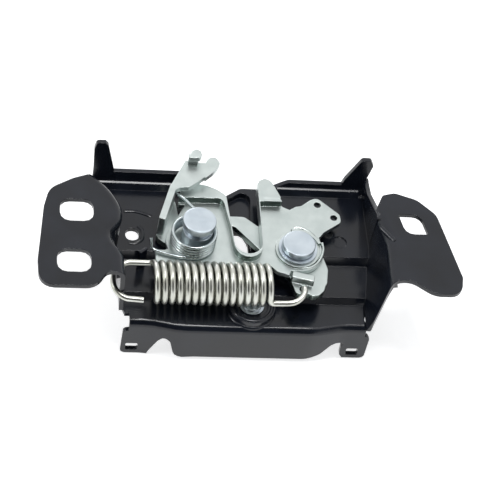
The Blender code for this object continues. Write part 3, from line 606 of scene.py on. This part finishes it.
def wire(points, diameter, material):
    let_go()
    bpy.ops.curve.primitive_nurbs_path_add(location=(0, 0, 0))
    piece = bpy.context.object
    piece.data.splines.clear()
    spline = piece.data.splines.new("POLY")
    spline.points.add(len(points) - 1)
    for slot, point in zip(spline.points, points):
        slot.co = (*at(*point), 1)
    piece.data.bevel_depth = diameter / 2 * MM
    piece.data.bevel_resolution = WIRE_ROUND_STEPS
    piece.data.use_fill_caps = True
    bpy.ops.object.convert(target="MESH")
    piece.data.materials.clear()
    piece.data.materials.append(material)
    return piece


def finish_spring(piece, name, node_name):
    pick(piece)
    piece.name = name
    bpy.ops.object.shade_smooth_by_angle(angle=math.radians(SMOOTH_ANGLE))
    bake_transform(piece)
    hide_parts(node_name)
    print(name, "has", len(piece.data.polygons), "faces")


# %% [markdown]
# ## The long spring
#
# This is an extension spring. It is a little stretched even at rest, so gaps show between its turns. Its
# left end leaves the coil in a small bend and turns into a loop, hooked over the left wall. Its right end
# bends down, runs as a leg to the catch and drops through the catch's hook hole. The base holds the left
# hook and the catch pulls the right one.

# %% Wind the long spring
LONG_WIRE = 2.5
LONG_RADIUS = 8.1
LONG_TURNS = 15.5
LONG_Y = -25.8
LONG_Z = 6.2
LONG_FROM_X = -40.9
LONG_TO_X = 7.8
HOOK_BEND = 2.0
HOOK_RISE = math.radians(30)
HOOK_LOOP_X = -49.7
HOOK_FROM, HOOK_TO, HOOK_STEPS = -105, -270, 24
HOOK_END = (-45.2, -34.2, 4.6)
HOOK_HOLE_X = 22.9
BEND_STEPS = 8
TURN_STEPS = 28

coil = []
last_angle = 2 * math.pi * LONG_TURNS
steps = round(LONG_TURNS * TURN_STEPS)
for k in range(steps + 1):
    angle = HOOK_RISE + (last_angle - HOOK_RISE) * k / steps
    coil.append((LONG_FROM_X + (LONG_TO_X - LONG_FROM_X) * k / steps,
                 LONG_Y + LONG_RADIUS * math.cos(angle), LONG_Z + LONG_RADIUS * math.sin(angle)))

quarter = [math.radians(90 / BEND_STEPS * k) for k in range(BEND_STEPS)]
onward = Vector((0, -math.sin(HOOK_RISE), math.cos(HOOK_RISE))) * HOOK_BEND
left_bend = [Vector(coil[0]) + Vector((HOOK_BEND * (math.sin(a) - 1), 0, 0)) - onward * math.cos(a)
             for a in quarter]
leave = left_bend[0]
loop = arc_points((HOOK_LOOP_X, leave.y - LONG_RADIUS), LONG_RADIUS, HOOK_FROM, HOOK_TO, HOOK_STEPS)
fall = (HOOK_END[2] - leave.z) / (2 * LONG_RADIUS)
left_hook = [HOOK_END] + [(x, y, leave.z + fall * (leave.y - y)) for x, y in loop] + left_bend

near_y = LONG_Y - LONG_RADIUS
right_bend = [(LONG_TO_X + HOOK_BEND - HOOK_BEND * math.cos(a), near_y, LONG_Z - HOOK_BEND * math.sin(a))
              for a in quarter[1:]]
right_leg = smooth_path([
    (LONG_TO_X + HOOK_BEND, near_y, LONG_Z - HOOK_BEND), (17.5, -34.2, 5.4), (21.4, -31.9, 6.3),
    (HOOK_HOLE_X, -29, 6.9), (HOOK_HOLE_X, -26.9, 6.1), (HOOK_HOLE_X, -26, 2.4), (HOOK_HOLE_X, -26, -1.2)],
    WIRE_STEP_MM)
long_spring = wire(left_hook + coil + right_bend + right_leg, LONG_WIRE, SPRING_WIRE)
finish_spring(long_spring, "long_spring",
              "extension_spring")

# %% [markdown]
# ## The coil spring
#
# The return spring is wound round the collar of the pawl's rivet. Its lower leg leans on a tab of the
# base and its upper leg hooks over the pawl's flange. It winds up about the pawl's own axis.

# %% Wind the coil spring
COIL_WIRE = 1.4
COIL_AT = (-23.5, -5.1)
COIL_RADIUS = 9.1
COIL_TURNS = 4.4
COIL_PITCH = 1.65
COIL_LOW_Z = 8.2

turns = []
for k in range(round(COIL_TURNS * TURN_STEPS) + 1):
    angle = -math.pi / 2 + 2 * math.pi * k / TURN_STEPS
    turns.append((COIL_AT[0] + COIL_RADIUS * math.cos(angle), COIL_AT[1] + COIL_RADIUS * math.sin(angle),
                  COIL_LOW_Z + COIL_PITCH * k / TURN_STEPS))
coil_top = turns[-1][2]

lower_leg = smooth_path([
    (-41.7, -7.4, COIL_LOW_Z + 4), (-41.3, -8.6, COIL_LOW_Z + 2), (-40.4, -10.2, COIL_LOW_Z + 0.2),
    (-32, -13.2, COIL_LOW_Z), turns[0]], WIRE_STEP_MM)[:-1]
upper_leg = smooth_path([
    turns[-1], (-22.9, 7.3, coil_top - 0.4), (-26.6, 12.9, coil_top - 1.2), (-28.7, 16, coil_top - 2.4),
    (-29, 17.9, coil_top - 3.8)], WIRE_STEP_MM)[1:]
coil_spring = wire(lower_leg + turns + upper_leg, COIL_WIRE, COIL_STEEL)
finish_spring(coil_spring, "coil_spring",
              "torsion_spring")

# %% [markdown]
# ## Ledges of the far flange
#
# Where the pan turns up into its far flange, the die leaves a narrow sloping ledge. It is black paint and
# would be lost on black, but its slope mirrors the lamp overhead to the camera, which draws the bright
# line along the foot of the flange. The same profile is drawn halfway along each ledge, one on either
# side of the slot, and thickened to the ledge's length.

# %% Thicken the ledges
LEDGE = [(28.8, -0.2), (31.2, 2.1), (32.05, 2.43), (32.7, 2.43), (32.7, -0.2)]

for name, from_x, to_x in (("left_far_ledge", -62, -24), ("right_far_ledge", 17, 54)):
    ledge = thickened([((from_x + to_x) / 2, y, z) for y, z in LEDGE], to_x - from_x)
    ledge.data.materials.append(BLACK_ECOAT)
    finish_piece(ledge, name, "base", smooth=0)

# %% [markdown]
# ## Pressed beads
#
# A die leaves rounded lips and beads that catch a line of light. Each is a round bar sunk to about its
# middle in the sheet's face. The base has one at a step of the pan, a lip at its hole, two rings on the
# dished boss and one at the right ear. The cover has a rib across its round seat and a rounded edge on
# the seat's near side.

# %% Add the beads
BEAD_STEP_MM = 0.6
RING_STEPS = 60
BLACK_BEAD = (2.3, BLACK_ECOAT, "black_ecoat")
PLATED_RIB = (2.2, ZINC_SHEET, "zinc_plate")
PLATED_EDGE = (1.4, ZINC_SHEET, "zinc_plate")


def bar(*points):
    return smooth_path(points, BEAD_STEP_MM)


def ring(centre, radius, z, start=0, end=360):
    return [(x, y, z) for x, y in arc_points(centre, radius, start, end, RING_STEPS)]


for name, points, (diameter, finish, slot) in (
        ("pan_bead", bar((-51, 17, -0.7), (-47, 17.3, -0.7), (-43.2, 16.3, -0.7), (-40.6, 15.2, -0.7),
                         (-39.2, 14.6, -0.9)), BLACK_BEAD),
        ("pan_hole_lip", bar((-45.3, 9, -0.78), (-43.7, 7, -0.78), (-43.4, 4, -0.78), (-44.1, 1.4, -0.78),
                             (-46.5, -0.5, -0.78), (-49.5, -0.5, -0.78)), BLACK_BEAD),
        ("boss_lip", ring(LOWER_AT, 8.7, -4.78), BLACK_BEAD),
        ("boss_foot", ring(LOWER_AT, 9.9, -7.7, 175, 365), BLACK_BEAD),
        ("ear_bead", bar((56.2, -3, 19.2), (58.7, -6.5, 19.2), (61.3, -10.5, 19.2)), BLACK_BEAD),
        ("seat_rib", bar((20.4, 2.9, 7.3), (23.2, 4.5, 7.6), (26.3, 3.3, 7.6), (29.2, 0, 7.6),
                         (30.8, -3.3, 7.3)), PLATED_RIB),
        ("seat_edge", bar((32.9, -2.7, 6.9), (33, -6.5, 6.9), (31.7, -10.6, 6.9), (29.3, -14.1, 6.9),
                          (26, -16.3, 6.9), (22.6, -16.9, 6.9)), PLATED_EDGE)):
    finish_piece(wire(points, diameter, finish), name, "base")

# %% [markdown]
# ## The camera
#
# The photograph looks down at the latch at 50 degrees, 15 degrees round from straight on, with the
# picture turned so that the latch lies level. The camera's axes are worked out from those three angles,
# and its lens from its distance, 800 mm, and the scale at the pan, 0.43 mm a pixel. The drawing's origin
# isn't quite in the middle of the picture, so the camera stands a few millimetres aside.

# %% Set the camera
AZIMUTH, ELEVATION, ROLL = (math.radians(a) for a in (-15, 50, 13.5))
FRAME_PX = 500
ORIGIN_PX = (243.6, 246.0)
MM_PER_PX = 0.43
DISTANCE = 800.0
SENSOR = 36.0

level = Vector((math.cos(AZIMUTH), math.sin(AZIMUTH), 0))
upward = Vector((-math.sin(AZIMUTH) * math.sin(ELEVATION), math.cos(AZIMUTH) * math.sin(ELEVATION),
                 math.cos(ELEVATION)))
back = level.cross(upward)
right = level * math.cos(ROLL) + upward * math.sin(ROLL)
up = upward * math.cos(ROLL) - level * math.sin(ROLL)
aside = right * (FRAME_PX / 2 - ORIGIN_PX[0]) * MM_PER_PX
below = up * (ORIGIN_PX[1] - FRAME_PX / 2) * MM_PER_PX

bpy.ops.object.camera_add()
camera = bpy.context.object
turn = Matrix((right, up, back)).transposed().to_4x4()
camera.matrix_world = Matrix.Translation(at(*(aside + below + back * DISTANCE))) @ turn
camera.data.sensor_width = SENSOR
camera.data.lens = DISTANCE / MM_PER_PX / FRAME_PX * SENSOR
camera.data.clip_start = 0.01
bpy.context.scene.camera = camera
print("lens", round(camera.data.lens, 1), "mm")

# %% [markdown]
# ## World and floor
#
# What the camera and a glossy surface see of the world is white, but what lights the latch is held at a
# plain level, so the plating keeps its own colour. The floor is pale paper. It also glows a little where
# it is seen directly, as white as the photograph's background, and it still shows the latch's shadow.

# %% Set the world and the floor
WORLD_LIGHT = 0.42
FLOOR_Z = -28.6
FLOOR_SIZE = 4.0
FLOOR_GLOW = 0.68


def seen_directly(tree):
    """1 for what the camera, a glossy face or a look through glass sees, and 0 for all other light."""
    path = node(tree, "ShaderNodeLightPath", {})
    either = node(tree, "ShaderNodeMath", {0: path.outputs["Is Camera Ray"],
                                           1: path.outputs["Is Glossy Ray"]}, operation="MAXIMUM")
    any_ray = node(tree, "ShaderNodeMath", {0: either.outputs[0], 1: path.outputs["Is Transmission Ray"]},
                   operation="MAXIMUM")
    return any_ray.outputs[0]


world = bpy.data.worlds.new("studio")
world.use_nodes = True
bpy.context.scene.world = world
tree = world.node_tree
dim_light = tree.nodes["Background"]
feed(tree, dim_light, {"Color": seen("#eef1f4"), "Strength": WORLD_LIGHT})
white_back = node(tree, "ShaderNodeBackground", {"Color": (1, 1, 1, 1), "Strength": 1.0})
mixed = node(tree, "ShaderNodeMixShader", {0: seen_directly(tree), 1: dim_light.outputs[0],
                                           2: white_back.outputs[0]})
feed(tree, tree.nodes["World Output"], {"Surface": mixed.outputs[0]})

let_go()
bpy.ops.mesh.primitive_plane_add(size=FLOOR_SIZE, location=at(0, 0, FLOOR_Z))
floor = bpy.context.object
floor.name = "studio_floor"
bpy.ops.object.transform_apply(location=True, rotation=True, scale=True)
paper, tree, shader = new_material("white_studio_paper")
glow = node(tree, "ShaderNodeMath", {0: seen_directly(tree), 1: FLOOR_GLOW}, operation="MULTIPLY")
feed(tree, shader, {"Base Color": seen("#f4f4f4"), "Roughness": 0.9, "Emission Color": (1, 1, 1, 1),
                    "Emission Strength": glow.outputs[0]})
floor.data.materials.append(paper)
print("floor at", round(at(0, 0, FLOOR_Z).z, 4), "m")

# %% [markdown]
# ## Lamps and a black cloth
#
# Three softboxes light the latch: one overhead gives the flat sheet its light, one from the left draws
# the thin lines on the bends, and one from the back lights the edges that face away. All are soft discs.
#
# Glossy black paint would mirror the white world and look grey. A photographer hangs a black cloth where
# that reflection comes from, round the camera. The same is done here with a plane that only reflections
# see: the camera, the other light and the shadows pass through it.

# %% Light the latch
CLOTH_SIZE = 1.6
CLOTH_DISTANCE = 1.13


def turn_to(piece, toward):
    """Turn a lamp or a cloth that hangs in this direction from the latch to face it."""
    piece.rotation_euler = toward.to_track_quat("Z", "Y").to_euler()


def softbox(name, toward, distance, size, watts):
    let_go()
    bpy.ops.object.light_add(type="AREA", location=at(0, 0, 0) + Vector(toward).normalized() * distance)
    lamp = bpy.context.object
    lamp.name = name
    lamp.data.shape = "DISK"
    lamp.data.size = size
    lamp.data.energy = watts
    turn_to(lamp, Vector(toward))
    print(name, watts, "W")


cloth, tree, shader = new_material("camera_flag_cloth")
feed(tree, shader, {"Base Color": seen("#0a0a0a"), "Roughness": 0.9, "Specular IOR Level": 0.1})
let_go()
cloth_toward = (back * 1.1 - up * 0.25).normalized()
bpy.ops.mesh.primitive_plane_add(size=CLOTH_SIZE, location=at(0, 0, 0) + cloth_toward * CLOTH_DISTANCE)
flag = bpy.context.object
flag.name = "camera_flag"
turn_to(flag, cloth_toward)
bpy.ops.object.transform_apply(location=True, rotation=True, scale=True)
flag.data.materials.append(cloth)
flag.visible_camera = False
flag.visible_diffuse = False
flag.visible_shadow = False

softbox("overhead_softbox", toward=(0.1, 0.0, 1.0), distance=1.0, size=0.3, watts=3.5)
softbox("left_softbox", toward=(-1.0, -0.2, 0.8), distance=1.1, size=0.25, watts=2)
softbox("back_softbox", toward=(-0.1, 1.0, 0.5), distance=1.2, size=0.3, watts=2)
bpy.context.scene.view_settings.view_transform = "Standard"
